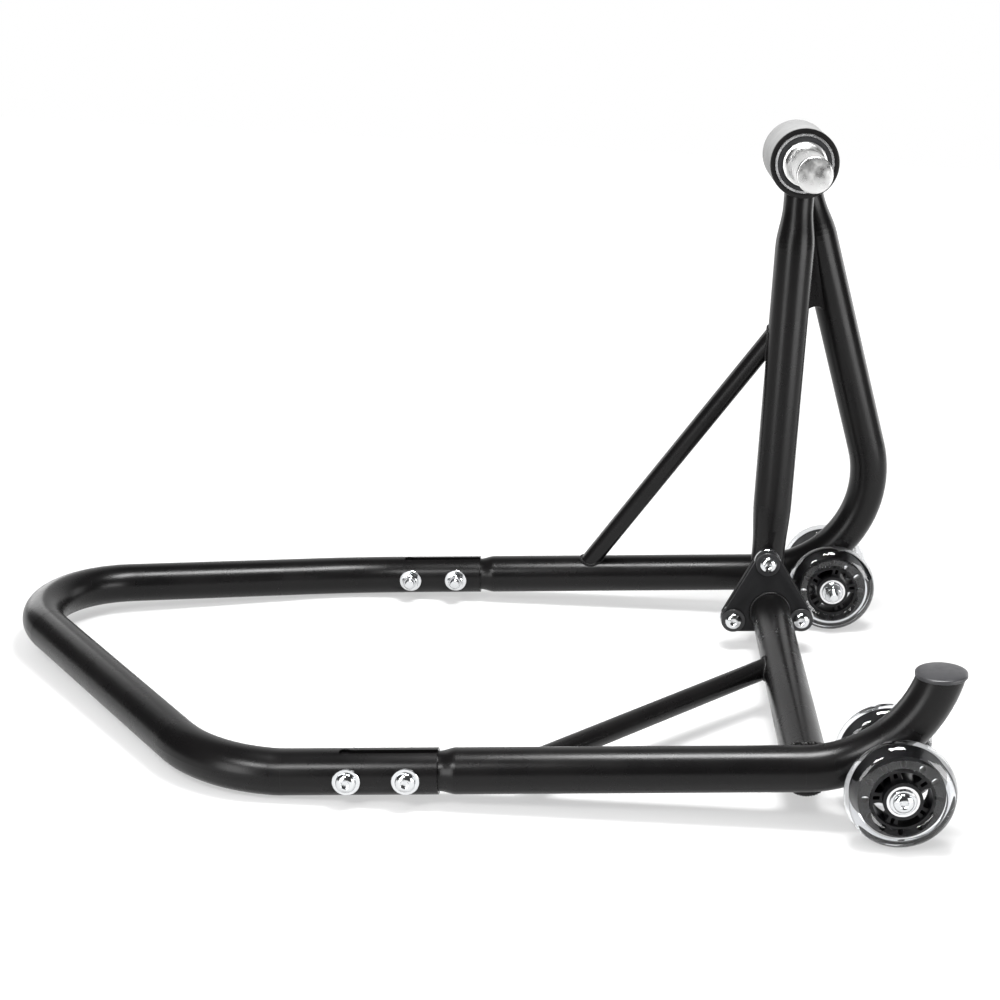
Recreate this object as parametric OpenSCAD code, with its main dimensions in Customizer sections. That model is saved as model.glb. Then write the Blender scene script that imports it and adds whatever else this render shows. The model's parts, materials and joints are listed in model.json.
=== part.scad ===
// Paddock stand for motorcycles with a single-sided swingarm.
// The frame plane holds the axes of both side tubes: x runs from the handle to the wheels with 0
// over the wheel axle, y runs across with 0 midway, z stands square to the plane.
// stand_pose() sets that plane on the floor, tilted so that handle and wheels both touch it.

/* [Frame tubes] */
// Outside diameter of the frame, handle and leg tubes
tube_d = 32; // [31:0.5:33]
// Wall thickness of those tubes
tube_wall = 2; // [1.5:0.25:2.5]
// Distance between the axes of the two side tubes
track = 406; // [396:1:416]
// Centreline radius of the bends behind the axle
rear_bend_r = 94.5; // [93:0.5:97]
// Distance from the axle forward to the start of the rear bends
rear_bend_start = 61.5; // [60:0.5:63]
// Angle through which the far side tube turns to become the back leg
back_leg_turn = 104.4; // [103.5:0.1:105]
// Lean of the back leg towards the near side
back_leg_lean = 3; // [2.5:0.1:3.5]
// Angle through which the near side tube turns up to its end cap
cap_turn = 73.5; // [68:0.5:75]

/* [Handle] */
// Distance from the axle forward to the handle's open ends
handle_ends = 310.5; // [306:0.5:312]
// Distance from the axle forward to the line where the handle turns up
handle_fold = 420.5; // [418:0.5:422]
// Upward angle of the handle from the frame plane
handle_lift = 6; // [4:0.5:8]
// Near front corner of the handle, forward of the axle
near_corner = 469.5; // [468:0.5:472]
// Far front corner of the handle, forward of the axle
far_corner = 703.5; // [690:0.5:715]
// Sideways position of the far front corner
far_corner_y = 93; // [80:1:105]
// Centreline radius of the near front corner
near_corner_r = 90; // [86:1:92]
// Centreline radius of the far front corner
far_corner_r = 79; // [75:1:85]
// Spacing of the two clamp bolts on each side
clamp_spacing = 40; // [38:1:41]

/* [Lifting hub] */
// Height of the hub axis above the frame plane
hub_z = 370; // [366:1:374]
// Distance from the axle forward to the hub axis
hub_ahead = 36; // [34.5:0.1:37.5]
// Sideways position of the hub's front face
hub_front = 126; // [124:1:128]
// Length of the hub
hub_len = 78; // [78:1:80]
// Outside diameter of the hub's front face
hub_d = 55.4; // [54:0.2:57]
// Diameter of the lift pin's free end
pin_d = 28.5; // [27:0.5:30]
// Length of the lift pin ahead of the hub's front face
pin_reach = 75; // [65:1:85]

/* [Flange and braces] */
// Distance from the axle forward to the cross tube's axis
cross_ahead = 59; // [58.5:0.5:59.5]
// Sideways position of the flange's front face
flange_front = 107; // [105:1:108]
// Distance from the flange centre to each of its bolts
flange_bolt_r = 33.2; // [32:0.2:34]
// Outside diameter of the two braces
brace_d = 16; // [15:0.5:17]
// Wall thickness of the braces
brace_wall = 1.5; // [1:0.25:2]

/* [Wheels] */
// Outside diameter of the wheels
wheel_d = 76; // [74:0.5:77]
// Width of the tyres
tyre_w = 24; // [23:0.5:25]
// Distance from a side tube's axis to the mid-plane of each of its wheels
wheel_offset = 30; // [29.5:0.5:34]
// Distance from the frame plane down to the wheel axle
axle_drop = 4.5; // [3:0.5:6]
// Number of arms in a wheel core
core_arms = 5; // [4:1:6]
// Number of anchor windows in the rim of a wheel core
core_windows = 12; // [10:1:14]

/* [Hidden] */
$fn = 72;
tube_r = tube_d / 2;
bore_r = tube_r - tube_wall;
half_track = track / 2;
wheel_r = wheel_d / 2;
frame_rise = asin((wheel_r - tube_r) / norm([handle_fold, axle_drop])) + atan(axle_drop / handle_fold);
frame_h = wheel_r + axle_drop * cos(frame_rise);
frame_x = 313.57;             // from the origin under the middle of the stand to x = 0
skin = 1;                     // how far cutting shapes pass through what they cut
lap = 0.2;                    // how far joined lengths of one tube run into each other
swell = 0.05;                 // added to the radius of bends and cones, to take the lap cleanly

// Handle clamps: split handle ends around the spigots of the side tubes
spigot_r = bore_r - 0.2;
spigot_wall = 2;
spigot_len = 70;
neck_len = 1;                 // bare spigot between handle end and shoulder
shoulder_len = 11.5;
shoulder_x = -handle_ends + neck_len;
split_w = 4.5;
split_len = 63;
split_lean = 9;               // turn of the splits about the tube, from the top towards -y
split_hole_d = 8;
first_clamp = 21;             // from the handle's end to the first clamp bolt
clamp_x = [-handle_ends - first_clamp, -handle_ends - first_clamp - clamp_spacing];
near_fold_r = 80;             // bend radius of the near arm at the fold
far_fold_r = 215;             // bend radius of the far arm at the fold

// M8 fasteners
m8_r = 3.95;
m8_hole_r = 4.2;
m8_head_d = 14;
m8_head_h = 4.4;
m8_socket_af = 5;
m8_socket_depth = 2.6;
m8_nut_af = 13;
m8_nut_h = 8;
m8_washer_t = 1.6;
clamp_washer_r = 9.5;
axle_washer_r = 8.75;

// Legs and hub
neck_r = 12.3;                // swaged upper end of each leg
neck_from_hub = 37;           // from the hub axis to the lower end of the neck
leg_swage = 33;               // length of the swaged cone below the neck
foot_r = 14;                  // swaged lower end of the front leg
foot_top = 45;
foot_swage = 40;
foot_end = -18;
front_leg_foot = [-61.9, 133.5, 0];
front_leg_top_y = 148;
hub_r = hub_d / 2;
hub_tube_r = 25.9;
hub_lip = 2.5;                // thickness of the black front ring
cover_gap = 0.1;
cover_open = 17;              // the cover stops this far below the hub axis

// Hub bearings, 25 x 47 x 12
bearing_r = 23.5;
bearing_bore_r = 12.5;
bearing_w = 12;
bearing_inset = 0.5;          // front bearing behind the hub's front face
hub_waist_r = 21;
outer_race_in_r = 20.5;
inner_race_out_r = 15.2;
ball_pitch_r = 17.85;
ball_r = 3.9;
groove_r = 3.96;
balls_per_bearing = 10;
seal_t = 0.8;
seal_in_r = 15.6;
seal_out_r = 21.7;
seal_recess = 1.3;            // depth of the seal's seat in the end of an outer race
front_bearing = hub_front + bearing_inset;
rear_clip_room = 4.5;
rear_bearing = hub_front + hub_len - rear_clip_room - bearing_w;
clip_t = 1.5;

// Lift pin
pin_r = pin_d / 2;
shoulder_r = 17.2;
shoulder_front = hub_front - 3;
pin_fillet = 4;
pin_chamfer = 1;
journal_r = 12.48;
journal_end = hub_front + hub_len - 1;

// Flange
plate_t = 5;
spacer_t = 3;
spacer_r = 11;
rear_plate_t = 6.5;
plate_corner_r = 10;
flange_washer_r = 10;
flange_washer_t = 1.5;
flange_centre = [-61.3, 7];
cross_drop = 2;               // cross tube's axis below the frame plane
spacer_y = flange_front + plate_t;
rear_plate_y = spacer_y + spacer_t;
rear_plate_back = rear_plate_y + rear_plate_t;
flange_bolt_len = rear_plate_back - flange_front + flange_washer_t;

// Brace ends, on the axes of the tubes they are welded to
near_brace_a = [-260.5, -half_track, 0];
near_brace_b = [-cross_ahead, -5, -cross_drop];
far_brace_a = [-221.5, half_track, 0];
far_brace_b = [-45.8, 143, 242];

// Wheel bearings, 8 x 22 x 7, and the stack along each axle
wb_r = 11;
wb_bore_r = 4;
wb_w = 7;
wb_spacer = 10.3;
wb_inner_r = 6.05;
wb_shoulder_r = 8.8;
wb_shield_r = 9.5;
wb_shield_in_r = 6.4;
wb_shield_z = 2.75;
wb_shield_t = 0.4;
wb_ball_r = 1.98;
wb_groove_r = 2.04;
wb_pitch_r = 7.6;
wb_balls = 7;
wb_centres = [-(wb_spacer + wb_w) / 2, (wb_spacer + wb_w) / 2];
stack_half = wb_spacer / 2 + wb_w;
bush_half = wheel_offset - stack_half - m8_washer_t;
bush_r = 10;
axle_bolt_len = 100;
inner_washer_face = wheel_offset + stack_half + m8_washer_t;

// Wheel core and tyre
core_hub_r = 13.4;
core_hub_bore_r = 8.6;
core_rim_in_r = 19.9;
core_rim_r = 21.4;
core_ring_r = 29;
core_ring_w = 10;
core_rim_w = 19;
core_web_w = 13;
core_gap_r = 7.6;             // radius of the round opening between two arms
core_gap_at = 19;
arm_slot_w = 2.6;
arm_slot_from = 14.8;
window_r = 2;
window_at = 25.4;
crown_from_r = 28;            // where the tyre's rounded tread begins
crown_steps = 14;

// End cap
cap_d = 35.5;
cap_rim = 2.2;
cap_dome = 2.4;
cap_plug_r = 11.5;
cap_plug_len = 5;

black = "#242427";
bright = "#c9ccd0";
clear = [0.55, 0.57, 0.6, 0.6];

near_outer = -half_track - wheel_offset;
near_inner = -half_track + wheel_offset;
far_inner = half_track - wheel_offset;
far_outer = half_track + wheel_offset;

function unit(v) = v / norm(v);
function turn_at(a, p, b) = acos(unit(p - a) * unit(b - p));
function setback(a, p, b, r) = r * tan(turn_at(a, p, b) / 2);
function smooth(t) = t * t * (3 - 2 * t);
// Points of a swage: radius r1 at length z1 passing smoothly to r2 at z2
function swage(r1, z1, r2, z2, steps = 8) =
    [for (i = [0:steps]) [r1 + (r2 - r1) * smooth(i / steps), z1 + (z2 - z1) * i / steps]];

// The frame plane set on the floor
module stand_pose() {
    translate([frame_x, 0, frame_h]) rotate([0, -frame_rise, 0]) children();
}

// Local z along the line from a to b
module along(a, b) {
    d = b - a;
    translate(a) rotate([0, acos(d[2] / norm(d)), atan2(d[1], d[0])]) children();
}

// Local z along +y, starting at y, on the hub axis or on the axle
module on_hub(y) {
    translate([-hub_ahead, y, hub_z]) rotate([-90, 0, 0]) children();
}

module on_axle(y) {
    translate([0, y, -axle_drop]) rotate([-90, 0, 0]) children();
}

module ring(r_out, r_in, h) {
    difference() {
        cylinder(h = h, r = r_out);
        translate([0, 0, -skin]) cylinder(h = h + 2 * skin, r = r_in);
    }
}

module turned(points) {
    last = len(points) - 1;
    rotate_extrude() polygon(concat([[0, points[0][1]]], points, [[0, points[last][1]]]));
}

module rod(a, b, r) {
    along(a, b) cylinder(h = norm(b - a), r = r);
}

module bend(a, p, b, bend_r, r) {
    u = unit(a - p);
    v = unit(b - p);
    turn = turn_at(a, p, b);
    c = p + unit(u + v) * bend_r / cos(turn / 2);
    ex = unit(p + u * setback(a, p, b, bend_r) - c);
    ez = unit(cross(ex, p + v * setback(a, p, b, bend_r) - c));
    ey = cross(ez, ex);
    multmatrix([
        [ex[0], ey[0], ez[0], c[0]],
        [ex[1], ey[1], ez[1], c[1]],
        [ex[2], ey[2], ez[2], c[2]],
        [0, 0, 0, 1]
    ]) rotate_extrude(angle = turn) translate([bend_r, 0]) circle(r);
}

// A rod of radius r along points, with a bend radius for each inner point. Each straight
// length is drawn longer by the lap at both ends.
module bent_rod(points, bends, r) {
    n = len(points);
    cut = [for (i = [0:n - 1]) i == 0 || i == n - 1 ? 0 :
        setback(points[i - 1], points[i], points[i + 1], bends[i - 1])];
    for (i = [0:n - 2]) {
        d = unit(points[i + 1] - points[i]);
        rod(points[i] + d * (cut[i] - lap), points[i + 1] - d * (cut[i + 1] - lap), r);
    }
    for (i = [1:n - 2]) bend(points[i - 1], points[i], points[i + 1], bends[i - 1], r + swell);
}

// ---- Side tubes, legs and handle ----

rear_corner_near = -rear_bend_start + rear_bend_r * tan((cap_turn + 12) / 2);
rear_corner_far = -rear_bend_start + rear_bend_r * tan(back_leg_turn / 2);
far_corner_point = [rear_corner_far, half_track, 0];
back_leg_dir = [
    cos(back_leg_turn),
    -sin(back_leg_turn) * sin(back_leg_lean),
    sin(back_leg_turn) * cos(back_leg_lean)
];
back_leg_len = hub_z / back_leg_dir[2];
cap_seat = [
    -rear_bend_start + rear_bend_r * sin(cap_turn),
    -half_track,
    rear_bend_r * (1 - cos(cap_turn))
];

// Shoulder and spigot at the front end of a side tube; grow > 0 gives the outside, 0 the inside
module spigot(y, r_tip, r_tube, past) {
    shoulder_at = spigot_len + neck_len;
    shoulder = swage(r_tip, shoulder_at, r_tube + swell, shoulder_at + shoulder_len);
    translate([shoulder_x - shoulder_at, y, 0]) rotate([0, 90, 0])
        turned(concat([[r_tip, -past]], shoulder));
}

module near_side_solid(r) {
    start = [shoulder_x + shoulder_len, -half_track, 0];
    corner = [rear_corner_near, -half_track, 0];
    end = corner + [cos(cap_turn + 12), 0, sin(cap_turn + 12)] * (corner[0] + rear_bend_start + skin);
    bent_rod([start, corner, end], [rear_bend_r], r);
}

module far_side_solid(r, leg_neck_r) {
    start = [shoulder_x + shoulder_len, half_track, 0];
    leg_top = far_corner_point + back_leg_dir * (back_leg_len - neck_from_hub - leg_swage);
    bent_rod([start, far_corner_point, leg_top], [rear_bend_r], r);
    along(leg_top, leg_top + back_leg_dir)
        turned(concat(swage(r + swell, 0, leg_neck_r, leg_swage),
            [[leg_neck_r, leg_swage + neck_from_hub]]));
}

module clamp_holes(y) {
    for (x = clamp_x) translate([x, y, 0]) rotate([90, 0, 0])
        cylinder(h = tube_d + 2 * skin, r = m8_hole_r, center = true);
}

module hub_envelope(r) {
    on_hub(hub_front) cylinder(h = hub_len, r = r);
}

module axle_bush_envelope(y) {
    on_axle(y - bush_half) cylinder(h = 2 * bush_half, r = bush_r);
}

module handle_tube() {
    rise = tan(handle_lift);
    near_end = [-handle_ends, -half_track, 0];
    far_end = [-handle_ends, half_track, 0];
    points = [
        near_end,
        [-handle_fold, -half_track, 0],
        [-near_corner, -half_track, rise * (near_corner - handle_fold)],
        [-far_corner, far_corner_y, rise * (far_corner - handle_fold)],
        [-handle_fold, half_track, 0],
        far_end
    ];
    bends = [near_fold_r, near_corner_r, far_corner_r, far_fold_r];
    color(black) stand_pose() difference() {
        bent_rod(points, bends, tube_r);
        bent_rod(points, bends, bore_r);
        for (y = [-half_track, half_track]) {
            translate([-handle_ends - split_len, y, 0]) rotate([split_lean, 0, 0]) {
                translate([0, -split_w / 2, 0]) cube([split_len + skin, split_w, tube_d]);
                cylinder(h = tube_d, d = split_hole_d);
            }
            clamp_holes(y);
        }
    }
}

module near_side_tube() {
    color(black) stand_pose() difference() {
        union() {
            spigot(-half_track, spigot_r, tube_r, 0);
            near_side_solid(tube_r);
        }
        spigot(-half_track, spigot_r - spigot_wall, bore_r, skin);
        near_side_solid(bore_r);
        clamp_holes(-half_track);
        axle_bush_envelope(-half_track);
        translate(cap_seat - [tube_d, tube_d, 0]) cube(2 * tube_d);
    }
}

module far_side_tube() {
    color(black) stand_pose() difference() {
        union() {
            spigot(half_track, spigot_r, tube_r, 0);
            far_side_solid(tube_r, neck_r);
        }
        spigot(half_track, spigot_r - spigot_wall, bore_r, skin);
        far_side_solid(bore_r, neck_r - tube_wall);
        clamp_holes(half_track);
        axle_bush_envelope(half_track);
        hub_envelope(hub_tube_r);
    }
}

front_leg_top = [-hub_ahead, front_leg_top_y, hub_z];
front_leg_len = norm(front_leg_top - front_leg_foot);

module front_leg_solid(thin) {
    along(front_leg_foot, front_leg_top) turned(concat(
        [[foot_r - thin, foot_end]],
        swage(foot_r - thin, foot_top, tube_r - thin, foot_top + foot_swage),
        swage(tube_r - thin, front_leg_len - neck_from_hub - leg_swage,
            neck_r - thin, front_leg_len - neck_from_hub),
        [[neck_r - thin, front_leg_len]]));
}

module front_leg() {
    color(black) stand_pose() difference() {
        front_leg_solid(0);
        front_leg_solid(tube_wall);
        hub_envelope(hub_tube_r);
        translate([-cross_ahead - tube_d, rear_plate_back - tube_d, -tube_d])
            cube([2 * tube_d, tube_d, 3 * tube_d]);
        translate([0, 0, foot_end - 2 * skin]) along(front_leg_foot, front_leg_top)
            translate([0, 0, -2 * skin]) cylinder(h = 4 * skin, r = foot_r - tube_wall);
    }
}

// ---- Gusset, cross tube, braces, bushes and cap ----

gusset_low = 239;
gusset_high = 345;
gusset_t = 4;
gusset_notch_r = 30;

module leg_gusset() {
    front = front_leg_foot + (front_leg_top - front_leg_foot) * gusset_low / hub_z;
    back = far_corner_point + back_leg_dir * (gusset_low / back_leg_dir[2]);
    apex = (front_leg_top + far_corner_point + back_leg_dir * back_leg_len) / 2;
    ex = unit(back - front);
    ez = unit(cross(ex, apex - front));
    ey = cross(ez, ex);
    span = norm(back - front);
    reach = (apex - front) * ey;
    color(black) stand_pose() difference() {
        multmatrix([
            [ex[0], ey[0], ez[0], front[0]],
            [ex[1], ey[1], ez[1], front[1]],
            [ex[2], ey[2], ez[2], front[2]],
            [0, 0, 0, 1]
        ]) translate([0, 0, -gusset_t / 2]) linear_extrude(gusset_t) difference() {
            polygon([[0, 0], [span, 0], [(apex - front) * ex, reach]]);
            translate([span / 2, 8 - gusset_notch_r]) circle(gusset_notch_r);
        }
        front_leg_solid(0);
        far_side_solid(tube_r, neck_r);
        hub_envelope(hub_tube_r);
    }
}

module cross_tube() {
    start = [-cross_ahead, -half_track, -cross_drop];
    end = [-cross_ahead, flange_front, -cross_drop];
    color(black) stand_pose() difference() {
        rod(start, end, tube_r);
        rod(start - [0, skin, 0], end + [0, skin, 0], bore_r);
        near_side_solid(tube_r);
    }
}

module near_brace() {
    color(black) stand_pose() difference() {
        rod(near_brace_a, near_brace_b, brace_d / 2);
        rod(near_brace_a, near_brace_b, brace_d / 2 - brace_wall);
        near_side_solid(tube_r);
        rod([-cross_ahead, -half_track, -cross_drop], [-cross_ahead, 0, -cross_drop] +
            [0, tube_d, 0], tube_r);
    }
}

module far_brace() {
    color(black) stand_pose() difference() {
        rod(far_brace_a, far_brace_b, brace_d / 2);
        rod(far_brace_a, far_brace_b, brace_d / 2 - brace_wall);
        far_side_solid(tube_r, neck_r);
        front_leg_solid(0);
    }
}

module axle_bush(y) {
    color(black) stand_pose() on_axle(y - bush_half) ring(bush_r, m8_hole_r, 2 * bush_half);
}

module end_cap() {
    dome = [for (a = [0:10:80])
        [cap_d / 2 * cos(a), cap_rim + cap_dome * sin(a)]];
    color("#1c1c1e") stand_pose() translate(cap_seat)
        turned(concat([[cap_plug_r, -cap_plug_len], [cap_plug_r, 0], [cap_d / 2, 0]], dome));
}

// ---- Fasteners: local z points out of the head, the seat of the head is z = 0 ----

module button_bolt(length) {
    dome_r = (pow(m8_head_d / 2, 2) + pow(m8_head_h, 2)) / (2 * m8_head_h);
    difference() {
        union() {
            translate([0, 0, -length]) cylinder(h = length, r = m8_r);
            intersection() {
                cylinder(h = m8_head_h, d = m8_head_d);
                translate([0, 0, m8_head_h - dome_r]) sphere(dome_r);
            }
        }
        translate([0, 0, m8_head_h - m8_socket_depth])
            cylinder(h = m8_head_h, d = m8_socket_af / cos(30), $fn = 6);
    }
}

// Locking nut, seated on z = 0, with its round collar at the far end
module lock_nut() {
    hex_h = 6.2;
    corner_r = m8_nut_af / cos(30) / 2;
    difference() {
        union() {
            intersection() {
                cylinder(h = hex_h, r = corner_r, $fn = 6);
                translate([0, 0, -1]) cylinder(h = hex_h + 2, r1 = corner_r + 2.2,
                    r2 = m8_nut_af / 2 - 0.9);
            }
            cylinder(h = m8_nut_h, r = m8_nut_af / 2 - 0.9);
        }
        translate([0, 0, -skin]) cylinder(h = m8_nut_h + 2 * skin, r = m8_r + 0.05);
    }
}

module m8_washer(r) {
    ring(r, m8_hole_r, m8_washer_t);
}

// The four clamp bolt places, with local z pointing outwards from the stand
module at_clamps() {
    for (side = [-1, 1], x = clamp_x)
        translate([x, side * half_track, 0]) rotate([-90 * side, 0, 0]) children();
}

module clamp_bolts() {
    color(bright) stand_pose() at_clamps()
        translate([0, 0, tube_r + m8_washer_t]) button_bolt(45);
}

module clamp_washers() {
    color(bright) stand_pose() at_clamps() for (z = [tube_r, -tube_r - m8_washer_t])
        translate([0, 0, z]) m8_washer(clamp_washer_r);
}

module clamp_nuts() {
    color(bright) stand_pose() at_clamps()
        translate([0, 0, -tube_r - m8_washer_t]) rotate([180, 0, 0]) lock_nut();
}

// ---- Flange ----

// The three flange bolt places on the plane at y, with local z pointing to the near side
module at_flange_bolts(y) {
    for (a = [90, 210, 330])
        translate([flange_centre[0] + flange_bolt_r * cos(a), y,
            flange_centre[1] + flange_bolt_r * sin(a)]) rotate([90, 0, 0]) children();
}

// Triangle with rounded corners, drawn in x and z, standing on the plane at y
module flange_plate(y, thickness, hole_r) {
    function corner(i) = flange_bolt_r * [cos(90 + 120 * i), sin(90 + 120 * i)];
    function edge_normal(i) = [cos(150 + 120 * i), sin(150 + 120 * i)];
    outline = [for (i = [0:2], end = [0, 1])
        corner(i + end) + plate_corner_r * edge_normal(i)];
    translate([flange_centre[0], y + thickness, flange_centre[1]]) rotate([90, 0, 0])
        linear_extrude(thickness) difference() {
            union() {
                polygon(outline);
                for (i = [0:2]) translate(corner(i)) circle(plate_corner_r);
            }
            for (i = [0:2]) translate(corner(i)) circle(hole_r);
        }
}

module front_flange_plate() {
    color(black) stand_pose() flange_plate(flange_front, plate_t, m8_hole_r);
}

module rear_flange_plate() {
    color(black) stand_pose() flange_plate(rear_plate_y, rear_plate_t, m8_r + 0.05);
}

module flange_spacers() {
    color(bright) stand_pose() at_flange_bolts(spacer_y + spacer_t)
        ring(spacer_r, m8_hole_r, spacer_t);
}

module flange_washers() {
    color(black) stand_pose() at_flange_bolts(flange_front)
        ring(flange_washer_r, m8_hole_r, flange_washer_t);
}

module flange_bolts() {
    color(bright) stand_pose() at_flange_bolts(flange_front - flange_washer_t)
        button_bolt(flange_bolt_len);
}

// ---- Hub and lift pin ----

module hub_housing() {
    color(black) stand_pose() difference() {
        union() {
            on_hub(hub_front) cylinder(h = hub_lip, r = hub_r);
            on_hub(hub_front) cylinder(h = hub_len, r = hub_tube_r);
        }
        on_hub(hub_front - skin) cylinder(h = hub_len + 2 * skin, r = hub_waist_r);
        on_hub(hub_front - skin) cylinder(h = skin + bearing_inset + bearing_w, r = bearing_r);
        on_hub(rear_bearing) cylinder(h = hub_len, r = bearing_r);
        on_hub(rear_bearing + bearing_w) cylinder(h = clip_t, r = bearing_r + 1.1);
    }
}

module hub_cover() {
    color("#d0d2d4") stand_pose() difference() {
        on_hub(hub_front + hub_lip) ring(hub_r, hub_tube_r + cover_gap, hub_len - hub_lip);
        translate([-hub_ahead - hub_r - skin, hub_front, hub_z - hub_r - skin])
            cube([hub_d + 2 * skin, hub_len + skin, hub_r - cover_open + skin]);
    }
}

module at_hub_bearings() {
    for (y = [front_bearing, rear_bearing]) on_hub(y) children();
}

module bearing_groove(pitch_r, r, w) {
    translate([0, 0, w / 2]) rotate_extrude() translate([pitch_r, 0]) circle(r);
}

module hub_outer_races() {
    color(bright) stand_pose() at_hub_bearings() difference() {
        ring(bearing_r, outer_race_in_r, bearing_w);
        bearing_groove(ball_pitch_r, groove_r, bearing_w);
        for (z = [-skin, bearing_w - seal_recess]) translate([0, 0, z])
            cylinder(h = skin + seal_recess, r = seal_out_r);
    }
}

module hub_inner_races() {
    color(bright) stand_pose() at_hub_bearings() difference() {
        ring(inner_race_out_r, bearing_bore_r, bearing_w);
        bearing_groove(ball_pitch_r, groove_r, bearing_w);
    }
}

module hub_balls() {
    color(bright) stand_pose() at_hub_bearings() for (i = [0:balls_per_bearing - 1])
        rotate([0, 0, i * 360 / balls_per_bearing]) translate([ball_pitch_r, 0, bearing_w / 2])
            sphere(ball_r);
}

module hub_seals() {
    color("#1b1b1c") stand_pose() at_hub_bearings() for (z = [0.5, bearing_w - 0.5 - seal_t])
        translate([0, 0, z]) ring(seal_out_r, seal_in_r, seal_t);
}

module hub_spacer() {
    y = front_bearing + bearing_w;
    color(bright) stand_pose() on_hub(y) ring(15, bearing_bore_r, rear_bearing - y);
}

module lift_pin() {
    // Arc from the shoulder's face up to the free shaft
    fillet = [for (a = [0:15:90]) [
        pin_r + pin_fillet * (1 - sin(a)),
        shoulder_front - pin_fillet * (1 - cos(a))]];
    profile = concat(
        [[0, hub_front - pin_reach], [pin_r - pin_chamfer, hub_front - pin_reach],
            [pin_r, hub_front - pin_reach + pin_chamfer]],
        [for (i = [len(fillet) - 1:-1:0]) [fillet[i][0], fillet[i][1]]],
        [[shoulder_r - 0.5, shoulder_front], [shoulder_r, shoulder_front + 0.5],
            [shoulder_r, hub_front - 0.2], [14.8, hub_front - 0.2], [14.8, front_bearing],
            [journal_r, front_bearing], [journal_r, journal_end - 0.8],
            [journal_r - 0.8, journal_end], [0, journal_end]]);
    color(bright) stand_pose() difference() {
        on_hub(0) rotate_extrude() polygon(profile);
        on_hub(rear_bearing + bearing_w) ring(14, journal_r - 0.8, clip_t);
        on_hub(hub_front - pin_reach - skin) cylinder(h = skin + 2.5, r1 = 2.6, r2 = 0.6);
    }
}

// Open retaining ring
module circlip(r_out, r_in, gap) {
    difference() {
        ring(r_out, r_in, clip_t);
        translate([-gap / 2, 0, -skin]) cube([gap, 2 * r_out, clip_t + 2 * skin]);
    }
}

module hub_circlip() {
    color("#3a3a3c") stand_pose() on_hub(rear_bearing + bearing_w)
        circlip(bearing_r + 1.05, 20.6, 9);
}

module pin_circlip() {
    color("#3a3a3c") stand_pose() on_hub(rear_bearing + bearing_w)
        circlip(15.2, journal_r - 0.75, 5);
}

// ---- Wheel axles, fixed to the frame ----

module outward(side) {
    translate([0, side * half_track, -axle_drop]) rotate([-90 * side, 0, 0]) children();
}

module axle_bolt(side) {
    color(bright) stand_pose() outward(side) translate([0, 0, inner_washer_face])
        button_bolt(axle_bolt_len);
}

module axle_nuts() {
    color(bright) stand_pose() for (side = [-1, 1]) outward(side)
        translate([0, 0, -inner_washer_face]) rotate([180, 0, 0]) lock_nut();
}

module axle_washers() {
    color(bright) stand_pose() for (side = [-1, 1]) outward(side)
        for (z = [-inner_washer_face, -bush_half - m8_washer_t, bush_half,
            inner_washer_face - m8_washer_t])
            translate([0, 0, z]) m8_washer(axle_washer_r);
}

module axle_races(side) {
    color(bright) stand_pose() outward(side)
        for (wheel = [-wheel_offset, wheel_offset], z = wb_centres)
            translate([0, 0, wheel + z - wb_w / 2]) difference() {
                ring(wb_inner_r, wb_bore_r, wb_w);
                bearing_groove(wb_pitch_r, wb_groove_r, wb_w);
            }
}

module wheel_bearing_spacers() {
    color(bright) stand_pose() for (side = [-1, 1]) outward(side)
        for (wheel = [-wheel_offset, wheel_offset])
            translate([0, 0, wheel - wb_spacer / 2]) ring(5.2, m8_hole_r, wb_spacer);
}

// ---- Wheels: local z along the axle, mid-plane at z = 0 ----

module windows(w) {
    for (i = [0:core_windows - 1]) rotate([0, 0, i * 360 / core_windows])
        translate([window_at, 0, -w / 2]) cylinder(h = w, r = window_r);
}

module wheel_tyre(y) {
    crown = wheel_r - crown_from_r;
    outline = concat(
        [[core_rim_r, -core_rim_w / 2], [core_rim_r + 3.5, -tyre_w / 2 + 0.5]],
        [for (i = [0:crown_steps]) [
            crown_from_r + crown * sin(180 * i / crown_steps),
            -tyre_w / 2 * cos(180 * i / crown_steps)]],
        [[core_rim_r + 3.5, tyre_w / 2 - 0.5], [core_rim_r, core_rim_w / 2]]);
    color(clear) stand_pose() on_axle(y) {
        difference() {
            rotate_extrude() polygon(outline);
            translate([0, 0, -core_ring_w / 2]) cylinder(h = core_ring_w, r = core_ring_r);
        }
        windows(core_ring_w + 2 * lap);
    }
}

module wheel_core(y, phase) {
    color("#1d1d1f") stand_pose() on_axle(y) {
        difference() {
            translate([0, 0, -stack_half]) cylinder(h = 2 * stack_half, r = core_hub_r);
            translate([0, 0, -stack_half - skin])
                cylinder(h = 2 * stack_half + 2 * skin, r = core_hub_bore_r);
            for (z = [-stack_half - skin, wb_spacer / 2]) translate([0, 0, z])
                cylinder(h = wb_w + skin, r = wb_r);
        }
        difference() {
            translate([0, 0, -core_web_w / 2])
                ring(core_rim_in_r + 0.5, core_hub_r - 0.5, core_web_w);
            for (i = [0:core_arms - 1]) {
                rotate([0, 0, phase + (i + 0.5) * 360 / core_arms])
                    translate([core_gap_at, 0, -core_web_w])
                        cylinder(h = 2 * core_web_w, r = core_gap_r);
                rotate([0, 0, phase + i * 360 / core_arms])
                    translate([arm_slot_from, -arm_slot_w / 2, -core_web_w])
                        cube([core_ring_r, arm_slot_w, 2 * core_web_w]);
            }
        }
        translate([0, 0, -core_rim_w / 2]) ring(core_rim_r, core_rim_in_r, core_rim_w);
        difference() {
            translate([0, 0, -core_ring_w / 2]) ring(core_ring_r, core_rim_r - 0.5, core_ring_w);
            windows(core_ring_w + 2 * skin);
        }
    }
}

module at_wheel_bearings(y) {
    for (z = wb_centres) on_axle(y + z - wb_w / 2) children();
}

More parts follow.
